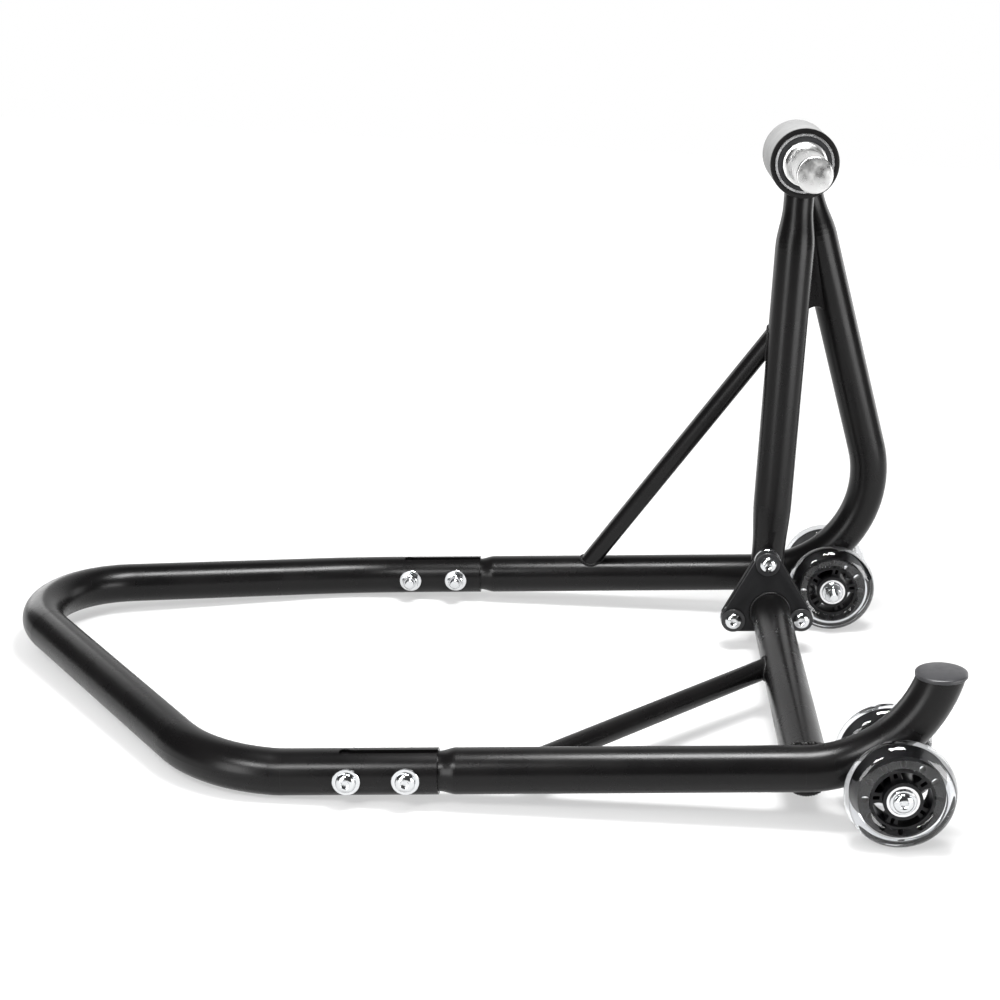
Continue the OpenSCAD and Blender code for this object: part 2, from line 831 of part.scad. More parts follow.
module wheel_races(y) {
    color(bright) stand_pose() at_wheel_bearings(y) difference() {
        ring(wb_r, wb_shoulder_r, wb_w);
        bearing_groove(wb_pitch_r, wb_groove_r, wb_w);
        for (z = [-skin, wb_w / 2 + wb_shield_z]) translate([0, 0, z])
            cylinder(h = wb_w / 2 - wb_shield_z + skin, r = wb_shield_r);
    }
}

module wheel_shields(y) {
    shield = wb_shield_z + wb_shield_t;
    color("#55575a") stand_pose() at_wheel_bearings(y)
        for (z = [wb_w / 2 - shield, wb_w / 2 + wb_shield_z])
            translate([0, 0, z]) ring(wb_shield_r, wb_shield_in_r, wb_shield_t);
}

module wheel_balls(y) {
    color(bright) stand_pose() at_wheel_bearings(y) for (i = [0:wb_balls - 1])
        rotate([0, 0, i * 360 / wb_balls]) translate([wb_pitch_r, 0, wb_w / 2])
            sphere(wb_ball_r);
}

handle_tube();
near_side_tube();
far_side_tube();
front_leg();
leg_gusset();
cross_tube();
near_brace();
far_brace();
axle_bush(-half_track);  // near_axle_bush
axle_bush(half_track);  // far_axle_bush
end_cap();
front_flange_plate();
rear_flange_plate();
flange_spacers();
flange_washers();
flange_bolts();
clamp_bolts();
clamp_washers();
clamp_nuts();
hub_housing();
hub_cover();
hub_outer_races();
hub_seals();
hub_circlip();
lift_pin();
hub_inner_races();
hub_balls();
hub_spacer();
pin_circlip();
axle_bolt(-1);  // near_axle_bolt
axle_bolt(1);  // far_axle_bolt
axle_nuts();
axle_washers();
axle_races(-1);  // near_axle_races
axle_races(1);  // far_axle_races
wheel_bearing_spacers();
wheel_tyre(near_outer);  // near_outer_tyre
wheel_tyre(near_inner);  // near_inner_tyre
wheel_tyre(far_inner);  // far_inner_tyre
wheel_tyre(far_outer);  // far_outer_tyre
wheel_core(near_outer, -35);  // near_outer_core
wheel_core(near_inner, 10);  // near_inner_core
wheel_core(far_inner, -5);  // far_inner_core
wheel_core(far_outer, 25);  // far_outer_core
wheel_races(near_outer);  // near_outer_races
wheel_races(near_inner);  // near_inner_races
wheel_races(far_inner);  // far_inner_races
wheel_races(far_outer);  // far_outer_races
wheel_shields(near_outer);  // near_outer_shields
wheel_shields(near_inner);  // near_inner_shields
wheel_shields(far_inner);  // far_inner_shields
wheel_shields(far_outer);  // far_outer_shields
wheel_balls(near_outer);  // near_outer_balls
wheel_balls(near_inner);  // near_inner_balls
wheel_balls(far_inner);  // far_inner_balls
wheel_balls(far_outer);  // far_outer_balls
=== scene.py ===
import json
import math

import bmesh
import bpy
from mathutils import Matrix, Vector

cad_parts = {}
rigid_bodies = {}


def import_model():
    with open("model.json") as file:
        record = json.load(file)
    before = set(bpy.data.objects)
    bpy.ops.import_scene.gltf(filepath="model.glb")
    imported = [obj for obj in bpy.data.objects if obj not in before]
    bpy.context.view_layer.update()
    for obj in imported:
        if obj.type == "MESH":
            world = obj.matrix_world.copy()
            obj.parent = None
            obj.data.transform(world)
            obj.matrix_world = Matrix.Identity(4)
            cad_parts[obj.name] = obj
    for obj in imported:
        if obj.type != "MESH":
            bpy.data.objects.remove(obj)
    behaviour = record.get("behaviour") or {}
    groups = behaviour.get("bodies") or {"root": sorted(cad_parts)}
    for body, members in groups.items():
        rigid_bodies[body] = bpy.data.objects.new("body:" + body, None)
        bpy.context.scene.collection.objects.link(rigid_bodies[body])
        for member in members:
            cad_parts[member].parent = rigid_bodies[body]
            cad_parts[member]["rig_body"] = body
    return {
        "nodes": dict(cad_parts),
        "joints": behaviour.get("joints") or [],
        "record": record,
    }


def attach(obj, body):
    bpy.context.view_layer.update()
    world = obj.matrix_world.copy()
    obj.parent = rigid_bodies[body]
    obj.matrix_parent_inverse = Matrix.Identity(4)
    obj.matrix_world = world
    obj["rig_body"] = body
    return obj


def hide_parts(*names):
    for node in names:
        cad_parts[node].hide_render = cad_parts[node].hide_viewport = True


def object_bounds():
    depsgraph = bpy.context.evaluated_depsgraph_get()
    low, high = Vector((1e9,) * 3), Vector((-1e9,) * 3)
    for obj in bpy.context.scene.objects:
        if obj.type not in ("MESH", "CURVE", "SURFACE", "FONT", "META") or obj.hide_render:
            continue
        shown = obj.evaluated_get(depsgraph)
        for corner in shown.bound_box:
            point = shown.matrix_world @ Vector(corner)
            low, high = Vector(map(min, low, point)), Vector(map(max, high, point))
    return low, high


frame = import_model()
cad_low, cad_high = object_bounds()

# ---- Sizes ----
# In millimetres in the stand's own plane: x from the handle to the wheels with 0 over the axle,
# y across with 0 midway, z square to the plane of the side tubes. R is a radius, T a thickness.

HALF_TRACK = 203.0
TUBE_R = 16.0
WHEEL_OFFSET = 30.0
AXLE_DROP = 4.5
BEND_R = 94.5
BEND_START = -61.5
HUB_X, HUB_Z = -36.0, 370.0
HUB_FRONT, HUB_LEN = 126.0, 78.0
HUB_TUBE_R, HUB_RING_R, HUB_LIP = 25.9, 27.7, 2.5
BEARING_R, BEARING_W = 23.5, 12.0
SEAL_RECESS = 0.5
CIRCLIP_AT, CIRCLIP_T, CIRCLIP_DEPTH = 4.5, 1.5, 1.1
NECK_R, NECK_FROM, NECK_TAPER = 12.3, 295.0, 36.0
PIN_R, PIN_REACH = 14.25, 75.0
SHOULDER_R, SHOULDER_T = 17.2, 3.0
RELIEF_R, JOURNAL_R = 14.8, 12.48
CROSS_X, CROSS_Z = -59.0, -2.0
BRACE_R = 8.0
FRONT_FOOT = Vector((-61.9, 133.5, 0.0))
FRONT_TOP = Vector((HUB_X, 148.0, HUB_Z))
FOOT_R, FOOT_FROM, FOOT_TAPER = 14.0, 45.0, 40.0
FLANGE_X, FLANGE_Z, FLANGE_BOLT_R = -61.3, 7.0, 33.2
FLANGE_FRONT, PLATE_T, SPACER_T, REAR_PLATE_T = 107.0, 5.0, 3.0, 6.5
CLAMP_X = (-331.5, -371.5)
BUSH_R = 10.0
BUSH_HALF = 16.25
STACK_HALF = 12.15
THREAD_PITCH, THREAD_R, THREAD_ROOT_R = 1.25, 3.95, 3.55
HEAD_R, HEAD_H, HEAD_RIM, HEAD_STEEP = 7.0, 3.98, 0.6, math.radians(62)
KEY_FLATS, NUT_FLATS, NUT_H = 5.0, 13.0, 6.2
WASHER_T, WASHER_HOLE_R = 1.6, 4.2
BACK_TURN, BACK_LEAN = math.radians(104.4), math.radians(3.0)
CAP_TURN = math.radians(73.5)
CAP_R = 17.75
BRACE_BEAD, END_BEAD, CROSS_BEAD, BUSH_BEAD, FOOT_BEAD, GUSSET_BEAD = 1.5, 2.0, 2.6, 1.7, 1.8, 1.2
BEAD_SIDES, BEAD_RIPPLE, RIPPLE_PITCH, SEAM_POINTS = 10, 0.13, 1.7, 150

joint_at = {j["name"]: Vector(j["pos_m"]) for j in frame["joints"]}
axle = joint_at["near_outer_spin"].copy()
axle.y = 0.0
hub = joint_at["lift_pin_spin"]
rise = math.atan2(HUB_Z + AXLE_DROP, HUB_X) - math.atan2(hub.z - axle.z, hub.x - axle.x)
PLANE = (Matrix.Translation(axle) @ Matrix.Rotation(rise, 4, "Y") @ Matrix.Scale(0.001, 4)
         @ Matrix.Translation((0, 0, AXLE_DROP)))


# ---- Finishes ----

class Finish:
    """A node-based material whose patterns follow the stand's own coordinates."""

    def __init__(self, name, colour, roughness, metallic=0.0, **inputs):
        self.material = bpy.data.materials.new(name)
        self.material.use_nodes = True
        tree = self.material.node_tree
        self.nodes, self.links = tree.nodes, tree.links
        self.shader = self.nodes["Principled BSDF"]
        self.set(self.shader, "Base Color", (*colour, 1.0))
        self.set(self.shader, "Roughness", roughness)
        self.set(self.shader, "Metallic", metallic)
        for key, value in inputs.items():
            self.set(self.shader, key.replace("_", " "), value)
        self.place = self.nodes.new("ShaderNodeTexCoord").outputs["Object"]

    @staticmethod
    def set(node, socket, value):
        node.inputs[socket].default_value = value

    def around(self, centre):
        """Coordinates that run as radius and height about an axis along Y."""
        away = self.nodes.new("ShaderNodeVectorMath")
        away.operation = "SUBTRACT"
        away.inputs[1].default_value = centre
        self.links.new(self.place, away.inputs[0])
        flat = self.nodes.new("ShaderNodeVectorMath")
        flat.operation = "MULTIPLY"
        flat.inputs[1].default_value = (1.0, 0.0, 1.0)
        self.links.new(away.outputs[0], flat.inputs[0])
        length = self.nodes.new("ShaderNodeVectorMath")
        length.operation = "LENGTH"
        self.links.new(flat.outputs[0], length.inputs[0])
        height = self.nodes.new("ShaderNodeSeparateXYZ")
        self.links.new(away.outputs[0], height.inputs[0])
        both = self.nodes.new("ShaderNodeCombineXYZ")
        self.links.new(length.outputs["Value"], both.inputs["X"])
        self.links.new(height.outputs["Y"], both.inputs["Y"])
        return both.outputs[0]

    def noise(self, scale, detail=2.0, place=None):
        node = self.nodes.new("ShaderNodeTexNoise")
        self.set(node, "Scale", scale)
        self.set(node, "Detail", detail)
        self.links.new(place or self.place, node.inputs["Vector"])
        return node.outputs["Fac"]

    def between(self, factor, low, high, start=0.3, end=0.7):
        node = self.nodes.new("ShaderNodeMapRange")
        self.set(node, "From Min", start)
        self.set(node, "From Max", end)
        self.set(node, "To Min", low)
        self.set(node, "To Max", high)
        self.links.new(factor, node.inputs["Value"])
        return node.outputs["Result"]

    def roughness(self, factor, low, high):
        self.links.new(self.between(factor, low, high), self.shader.inputs["Roughness"])
        return self

    def colours(self, factor, first, second):
        ramp = self.nodes.new("ShaderNodeValToRGB")
        ramp.color_ramp.elements[0].position = 0.3
        ramp.color_ramp.elements[1].position = 0.7
        ramp.color_ramp.elements[0].color = (*first, 1.0)
        ramp.color_ramp.elements[1].color = (*second, 1.0)
        self.links.new(factor, ramp.inputs["Fac"])
        self.links.new(ramp.outputs["Color"], self.shader.inputs["Base Color"])
        return self

    def bump(self, factor, distance):
        node = self.nodes.new("ShaderNodeBump")
        self.set(node, "Distance", distance)
        self.set(node, "Strength", 1.0)
        self.links.new(factor, node.inputs["Height"])
        self.links.new(node.outputs["Normal"], self.shader.inputs["Normal"])
        return self


def metal(name, colour, roughness, spread, axis=None, grain=2600.0, depth=6e-6):
    """Bare metal, with turning marks about axis or a fine even grain."""
    finish = Finish(name, colour, roughness, 1.0)
    place = finish.around(axis) if axis else None
    marks = finish.noise(grain, 3.0, place)
    finish.roughness(finish.noise(140.0, 3.0), roughness - spread, roughness + spread)
    finish.colours(finish.noise(60.0), [c * 0.9 for c in colour], colour)
    return finish.bump(marks, depth)


powder = Finish("powder_coat", (0.0032, 0.0031, 0.0032), 0.28, Specular_IOR_Level=0.19)
powder.roughness(powder.noise(35.0, 4.0), 0.25, 0.31)
powder.colours(powder.noise(18.0, 3.0), (0.0026, 0.0025, 0.0026), (0.0038, 0.0035, 0.0036))
powder.bump(powder.noise(1100.0, 2.0), 2.6e-5)

plate = Finish("plate_paint", (0.006, 0.006, 0.0065), 0.6, Specular_IOR_Level=0.14)
plate.roughness(plate.noise(90.0, 3.0), 0.52, 0.66)
plate.bump(plate.noise(1500.0, 3.0), 1.5e-5)

black_zinc = Finish("black_zinc", (0.014, 0.014, 0.015), 0.38, Specular_IOR_Level=0.4)
black_zinc.roughness(black_zinc.noise(260.0, 3.0), 0.3, 0.46)
black_zinc.bump(black_zinc.noise(2200.0, 2.0), 8e-6)

cap_plastic = Finish("cap_plastic", (0.022, 0.022, 0.024), 0.36, Specular_IOR_Level=0.4)
cap_plastic.roughness(cap_plastic.noise(200.0, 3.0), 0.3, 0.42)
cap_plastic.bump(cap_plastic.noise(1800.0, 2.0), 1.5e-5)

core_nylon = Finish("core_nylon", (0.004, 0.004, 0.0045), 0.34, Specular_IOR_Level=0.22)
core_nylon.roughness(core_nylon.noise(150.0, 3.0), 0.28, 0.42)
core_nylon.bump(core_nylon.noise(1300.0, 2.0), 1.2e-5)

seal_rubber = Finish("seal_rubber", (0.008, 0.008, 0.009), 0.5, Specular_IOR_Level=0.3)
seal_rubber.roughness(seal_rubber.noise(300.0, 3.0), 0.42, 0.58)
seal_rubber.bump(seal_rubber.noise(2000.0, 2.0), 1e-5)

urethane = Finish("clear_urethane", (0.86, 0.87, 0.885), 0.03, Transmission_Weight=1.0, IOR=1.5)
urethane.roughness(urethane.noise(70.0, 3.0), 0.015, 0.05)
urethane.bump(urethane.noise(90.0, 2.0), 6e-6)

silver = Finish("satin_silver", (0.2, 0.2, 0.2), 0.5, 0.3)
silver.roughness(silver.noise(160.0, 3.0), 0.44, 0.56)
silver.colours(silver.noise(45.0, 3.0), (0.18, 0.18, 0.18), (0.215, 0.216, 0.216))
silver.bump(silver.noise(1700.0, 3.0), 8e-6)

FINISHES = {
    "powder_coat": powder,
    "plate_paint": plate,
    "black_zinc": black_zinc,
    "cap_plastic": cap_plastic,
    "core_nylon": core_nylon,
    "seal_rubber": seal_rubber,
    "clear_urethane": urethane,
    "satin_silver": silver,
    "turned_steel": metal("turned_steel", (0.66, 0.66, 0.655), 0.32, 0.1, tuple(hub),
                          2200.0, 2e-5),
    "zinc_plate": metal("zinc_plate", (0.6, 0.61, 0.62), 0.17, 0.05, depth=2e-6),
    "bearing_steel": metal("bearing_steel", (0.74, 0.74, 0.75), 0.26, 0.06, depth=1.5e-6),
    "shield_steel": metal("shield_steel", (0.5, 0.5, 0.51), 0.26, 0.05, tuple(axle), depth=3e-6),
    "spring_steel": metal("spring_steel", (0.09, 0.09, 0.1), 0.32, 0.05),
}


# ---- Shapes ----

class Shape:
    """Points and faces of one piece, in millimetres in the stand's plane."""

    def __init__(self):
        self.points, self.faces = [], []

    def skin(self, rings, loop=False):
        """Joins closed rings of equally many points. loop joins the last ring to the first;
        otherwise the two end rings are capped."""
        start, n, m = len(self.points), len(rings[0]), len(rings)
        for ring in rings:
            self.points.extend(ring)
        for i in range(m if loop else m - 1):
            a, b = start + i * n, start + (i + 1) % m * n
            for j in range(n):
                k = (j + 1) % n
                self.faces.append((a + j, a + k, b + k, b + j))
        if not loop:
            self.faces.append(tuple(range(start + n - 1, start - 1, -1)))
            self.faces.append(tuple(range(start + (m - 1) * n, start + m * n)))
        return self

    def turned(self, profile, place, n=72, loop=False):
        """A lathe shape. A profile's radius is a number or a function of the angle."""
        rings = []
        for r, h in profile:
            ring = []
            for i in range(n):
                a = 2 * math.pi * i / n
                radius = r(a) if callable(r) else r
                ring.append(place @ Vector((radius * math.cos(a), radius * math.sin(a), h)))
            rings.append(ring)
        return self.skin(rings, loop)

    def piece(self, name, slot, body, replaces=(), sharp=32.0):
        """Makes the object, in the frame's metres, with the body and slot it belongs to."""
        mesh = bpy.data.meshes.new(name)
        mesh.from_pydata([PLANE @ p for p in self.points], [], self.faces)
        shape = bmesh.new()
        shape.from_mesh(mesh)
        bmesh.ops.remove_doubles(shape, verts=shape.verts, dist=1e-6)
        bmesh.ops.dissolve_degenerate(shape, edges=shape.edges, dist=1e-7)
        bmesh.ops.recalc_face_normals(shape, faces=shape.faces)
        shape.to_mesh(mesh)
        shape.free()
        return show(mesh, name, slot, body, replaces, sharp)


def show(mesh, name, slot, body, replaces, sharp):
    """Puts a mesh in the scene; edges sharper than sharp degrees stay crisp."""
    mesh.polygons.foreach_set("use_smooth", [True] * len(mesh.polygons))
    mesh.set_sharp_from_angle(angle=math.radians(sharp))
    piece = bpy.data.objects.new(name, mesh)
    bpy.context.scene.collection.objects.link(piece)
    mesh.materials.clear()
    mesh.materials.append(FINISHES[slot].material)
    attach(piece, body)
    if replaces:
        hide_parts(*replaces)
    return piece


def softened(node, name, slot, width, sharp=40.0):
    """A copy of a CAD node, with the edges that turn more than sharp degrees rounded."""
    source = frame["nodes"][node]
    mesh = source.data.copy()
    shape = bmesh.new()
    shape.from_mesh(mesh)
    bmesh.ops.remove_doubles(shape, verts=shape.verts, dist=2e-6)
    bmesh.ops.dissolve_limit(shape, angle_limit=math.radians(0.5), verts=shape.verts,
                             edges=shape.edges)
    edges = [e for e in shape.edges if len(e.link_faces) == 2
             and e.calc_face_angle(0.0) > math.radians(sharp)]
    bmesh.ops.bevel(shape, geom=edges, offset=width, offset_type="OFFSET", segments=3,
                    profile=0.5, affect="EDGES", clamp_overlap=True)
    shape.to_mesh(mesh)
    shape.free()
    return show(mesh, name, slot, source["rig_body"], (node,), 60.0)


def along_y(x, y, z, side=1):
    """Local z along +y, or along -y for side -1."""
    return Matrix.Translation((x, y, z)) @ Matrix.Rotation(-side * math.pi / 2, 4, "X")


def flipped(place):
    return place @ Matrix.Rotation(math.pi, 4, "X")


def lifted(place, h):
    return place @ Matrix.Translation((0, 0, h))


def hexagon(across_flats, cap=math.inf):
    """Radius at an angle of a hexagon whose corners are turned down to cap."""
    def radius(a):
        turn = (a + math.pi / 6) % (math.pi / 3) - math.pi / 6
        return min(across_flats / 2 / math.cos(turn), cap)
    return radius


# ---- Fasteners ----

def add_bolt(shape, place, length, threaded):
    """M8 button head screw with its seat at local height 0 and its shank below it."""
    profile = [(0.0, -length)]
    steps = int(threaded / THREAD_PITCH * 6)
    for i in range(steps + 1):
        z = -length + i * THREAD_PITCH / 6
        tip = min(1.0, (i + 1) / 5)

        def thread(a, z=z, tip=tip):
            wave = 0.5 + 0.5 * math.cos(2 * math.pi * (z / THREAD_PITCH) - a)
            return min(THREAD_ROOT_R + (THREAD_R - THREAD_ROOT_R) * wave, 2.9 + 1.1 * tip)
        profile.append((thread, z))
    profile += [(THREAD_R, -length + threaded + 0.4), (THREAD_R, 0.0),
                (HEAD_R - 0.3, 0.0), (HEAD_R, 0.35)]
    dome_h = HEAD_H - HEAD_RIM
    for i in range(9):
        t = HEAD_STEEP * i / 8
        profile.append((HEAD_R * math.cos(t),
                        HEAD_RIM + dome_h * math.sin(t) / math.sin(HEAD_STEEP)))
    key = hexagon(KEY_FLATS)
    profile += [(3.1, HEAD_H), (key, HEAD_H - 0.35), (key, HEAD_H - 2.6),
                (hexagon(2.4), HEAD_H - 3.0), (0.0, HEAD_H - 3.1)]
    shape.turned(profile, place, 60)


def add_nut(shape, place):
    """M8 locking nut with its seat at local height 0."""
    profile = [(4.0, 0.3), (4.4, 0.0), (hexagon(NUT_FLATS, 6.35), 0.0)]
    for h in (0.2, 0.45, 0.7):
        profile.append((hexagon(NUT_FLATS, 6.35 + 1.75 * h), h))
    for h in (0.9, 0.7, 0.5, 0.3, 0.1, 0.0):
        profile.append((hexagon(NUT_FLATS, 6.2 + 1.5 * h), NUT_H - h))
    profile += [(5.9, NUT_H), (5.85, 7.3), (5.7, 7.75), (5.4, 8.0), (5.0, 7.95), (4.8, 7.6),
                (4.2, 7.55), (4.0, 7.3)]
    shape.turned(profile, place, 72, loop=True)


def add_ring(shape, place, r_out, h):
    """Washer or spacer from local height 0 to h, its edges chamfered."""
    edge, r_in = 0.25, WASHER_HOLE_R
    shape.turned([(r_in, edge), (r_in + edge, 0.0), (r_out - edge, 0.0), (r_out, edge),
                  (r_out, h - edge), (r_out - edge, h), (r_in + edge, h), (r_in, h - edge)],
                 place, loop=True)


clamp_bolts, clamp_washers, clamp_nuts = Shape(), Shape(), Shape()
for side in (-1, 1):
    for x in CLAMP_X:
        place = along_y(x, side * HALF_TRACK, 0.0, side)
        add_bolt(clamp_bolts, lifted(place, TUBE_R + WASHER_T), 45.0, 12.0)
        add_nut(clamp_nuts, flipped(lifted(place, -TUBE_R - WASHER_T)))
        for h in (TUBE_R, -TUBE_R - WASHER_T):
            add_ring(clamp_washers, lifted(place, h), 9.5, WASHER_T)
clamp_bolts.piece("clamp_button_screws", "zinc_plate", "root", ["clamp_bolts"])
clamp_washers.piece("clamp_plain_washers", "zinc_plate", "root", ["clamp_washers"])
clamp_nuts.piece("clamp_lock_nuts", "zinc_plate", "root", ["clamp_nuts"])

axle_nuts, axle_washers = Shape(), Shape()
inner_face = WHEEL_OFFSET + STACK_HALF + WASHER_T
for side, label in ((-1, "near"), (1, "far")):
    place = along_y(0.0, side * HALF_TRACK, -AXLE_DROP, side)
    axle_bolt = Shape()
    add_bolt(axle_bolt, lifted(place, inner_face), 100.0, 16.0)
    axle_bolt.piece(label + "_axle_screw", "zinc_plate", "root", [label + "_axle_bolt"])
    add_nut(axle_nuts, flipped(lifted(place, -inner_face)))
    for h in (-inner_face, -BUSH_HALF - WASHER_T, BUSH_HALF, inner_face - WASHER_T):
        add_ring(axle_washers, lifted(place, h), 8.75, WASHER_T)
axle_nuts.piece("axle_lock_nuts", "zinc_plate", "root", ["axle_nuts"])
axle_washers.piece("axle_plain_washers", "zinc_plate", "root", ["axle_washers"])

flange_bolts, flange_washers, flange_spacers = Shape(), Shape(), Shape()
for degrees in (90, 210, 330):
    a = math.radians(degrees)
    x = FLANGE_X + FLANGE_BOLT_R * math.cos(a)
    z = FLANGE_Z + FLANGE_BOLT_R * math.sin(a)
    add_bolt(flange_bolts, along_y(x, FLANGE_FRONT - 1.5, z, -1), 16.0, 12.0)
    add_ring(flange_washers, along_y(x, FLANGE_FRONT, z, -1), 10.0, 1.5)
    add_ring(flange_spacers, along_y(x, FLANGE_FRONT + PLATE_T + SPACER_T, z, -1), 11.0, SPACER_T)
flange_bolts.piece("flange_button_screws", "zinc_plate", "root", ["flange_bolts"])
flange_washers.piece("flange_black_washers", "black_zinc", "root", ["flange_washers"])
flange_spacers.piece("flange_bright_spacers", "zinc_plate", "root", ["flange_spacers"])
softened("front_flange_plate", "flange_plate_front", "plate_paint", 0.0006)
softened("rear_flange_plate", "flange_plate_rear", "plate_paint", 0.0006)


# ---- Hub and pin ----

tip = HUB_FRONT - PIN_REACH
face = HUB_FRONT - SHOULDER_T
back = HUB_FRONT + HUB_LEN - 1.0
fillet = 4.0
pin = [(0.0, tip), (PIN_R - 1.2, tip), (PIN_R - 0.85, tip + 0.1), (PIN_R - 0.1, tip + 0.85),
       (PIN_R, tip + 1.2)]
for i in range(12):
    t = math.radians(90 - i * 7.5)
    pin.append((PIN_R + fillet * (1 - math.sin(t)), face - fillet * (1 - math.cos(t))))
pin += [(SHOULDER_R - 0.6, face), (SHOULDER_R - 0.15, face + 0.15), (SHOULDER_R, face + 0.6),
        (SHOULDER_R, face + 2.3), (SHOULDER_R - 0.3, face + 2.8), (RELIEF_R, face + 2.8),
        (RELIEF_R, HUB_FRONT + SEAL_RECESS), (JOURNAL_R, HUB_FRONT + SEAL_RECESS),
        (JOURNAL_R, back - 0.8), (JOURNAL_R - 0.8, back), (3.0, back), (0.0, back - 2.0)]
Shape().turned(pin, along_y(HUB_X, 0.0, HUB_Z), 128).piece(
    "turned_lift_pin", "turned_steel", "lifting_pin", ["lift_pin"], 40.0)

groove_r, groove_low = BEARING_R + CIRCLIP_DEPTH, HUB_LEN - CIRCLIP_AT
groove_high = groove_low + CIRCLIP_T
step_r, front_step, back_step = 21.0, SEAL_RECESS + BEARING_W, groove_low - BEARING_W
hub_profile = [
    (BEARING_R, 0.5), (BEARING_R + 0.5, 0.0), (HUB_RING_R - 0.7, 0.0), (HUB_RING_R - 0.2, 0.2),
    (HUB_RING_R, 0.7), (HUB_RING_R, HUB_LIP), (HUB_TUBE_R, HUB_LIP), (HUB_TUBE_R, HUB_LEN - 0.6),
    (HUB_TUBE_R - 0.6, HUB_LEN), (BEARING_R + 0.5, HUB_LEN), (BEARING_R, HUB_LEN - 0.5),
    (BEARING_R, groove_high), (groove_r, groove_high), (groove_r, groove_low),
    (BEARING_R, groove_low), (BEARING_R, back_step), (step_r, back_step), (step_r, front_step),
    (BEARING_R, front_step)]
Shape().turned(hub_profile, along_y(HUB_X, HUB_FRONT, HUB_Z), 128, loop=True).piece(
    "hub_barrel", "powder_coat", "root", ["hub_housing"])

lip = [(15.62, 0.3), (15.9, 0.0), (16.6, 0.05), (17.0, 0.28), (17.6, 0.28), (18.0, 0.05),
       (20.6, 0.05), (21.4, 0.0), (21.68, 0.25), (21.68, 0.8), (15.62, 0.8)]
seals = Shape()
for y in (HUB_FRONT + SEAL_RECESS, HUB_FRONT + back_step):
    for h, side in ((SEAL_RECESS, 1), (BEARING_W - SEAL_RECESS, -1)):
        seals.turned(lip, along_y(HUB_X, y + h, HUB_Z, side), 96, loop=True)
seals.piece("hub_lip_seals", "seal_rubber", "root", ["hub_seals"])
softened("hub_cover", "hub_silver_sleeve", "satin_silver", 0.0004)

cap_seat = Matrix.Translation((BEND_START + BEND_R * math.sin(CAP_TURN), -HALF_TRACK,
                               BEND_R * (1 - math.cos(CAP_TURN))))
dome = [(0.0, -5.0), (10.5, -5.0), (11.5, -4.2), (11.5, 0.0), (CAP_R - 0.4, 0.0), (CAP_R, 0.4)]
dome += [(CAP_R * math.cos(math.radians(a)), 2.2 + 2.4 * math.sin(math.radians(a)))
         for a in range(0, 91, 5)]
Shape().turned(dome, cap_seat, 96).piece("domed_end_cap", "cap_plastic", "root", ["end_cap"])


# ---- Wheels ----

WHEELS = ("near_outer", "near_inner", "far_inner", "far_outer")
tyre = [(21.3, -9.5), (22.6, -10.6), (24.4, -11.4), (26.2, -11.85)]
tyre += [(28.0 + 10.0 * math.sin(math.pi * i / 40), -12.0 * math.cos(math.pi * i / 40))
         for i in range(41)]
tyre += [(r, -h) for r, h in reversed(tyre[:4])]
for label in WHEELS:
    y = joint_at[label + "_spin"].y * 1000
    Shape().turned(tyre, along_y(0.0, y, -AXLE_DROP), 160, loop=True).piece(
        label + "_clear_tyre", "clear_urethane", label + "_wheel", [label + "_tyre"], 50.0)
    softened(label + "_core", label + "_moulded_core", "core_nylon", 0.0003)


# ---- Weld beads ----

def crossing(start, direction, inside, reach):
    """How far along direction the surface lies, from a point outside it."""
    low, high = 0.0, reach
    for _ in range(40):
        middle = (low + high) / 2
        if inside(start + direction * middle):
            high = middle
        else:
            low = middle
    return (low + high) / 2


def in_tube(a, b, r):
    """Test for points inside an endless tube through a and b."""
    axis = (b - a).normalized()

    def inside(p):
        off = p - a
        return (off - axis * off.dot(axis)).length < r
    return inside


def add_bead(shape, path, outward, r, closed=True):
    """A rippled bead along path; outward holds a direction off the first surface."""
    length = 0.0
    rings = []
    n = len(path)
    for i, p in enumerate(path):
        before = path[(i - 1) % n] if closed or i else p
        after = path[(i + 1) % n] if closed or i < n - 1 else p
        tangent = (after - before).normalized()
        first = (outward[i] - tangent * outward[i].dot(tangent)).normalized()
        second = tangent.cross(first)
        length += (p - path[i - 1]).length if i else 0.0
        ripple = r * (1.0 + BEAD_RIPPLE * math.sin(2 * math.pi * length / RIPPLE_PITCH))
        if not closed:
            ripple *= min(1.0, 0.35 + min(i, n - 1 - i) / 3)
        rings.append([p + (first * math.cos(t) + second * math.sin(t)) * ripple
                      for t in (2 * math.pi * j / BEAD_SIDES for j in range(BEAD_SIDES))])
    shape.skin(rings, closed)


def seam(shape, a, b, r, inside, bead):
    """Bead where a tube of radius r running from a towards b meets a surface beyond it."""
    axis = (b - a).normalized()
    e1 = axis.orthogonal().normalized()
    e2 = axis.cross(e1)
    path, outward = [], []
    for i in range(SEAM_POINTS):
        t = 2 * math.pi * i / SEAM_POINTS
        off = e1 * math.cos(t) + e2 * math.sin(t)
        start = a + off * r
        path.append(start + axis * crossing(start, axis, inside, (b - a).length))
        outward.append(off)
    add_bead(shape, path, outward, bead)


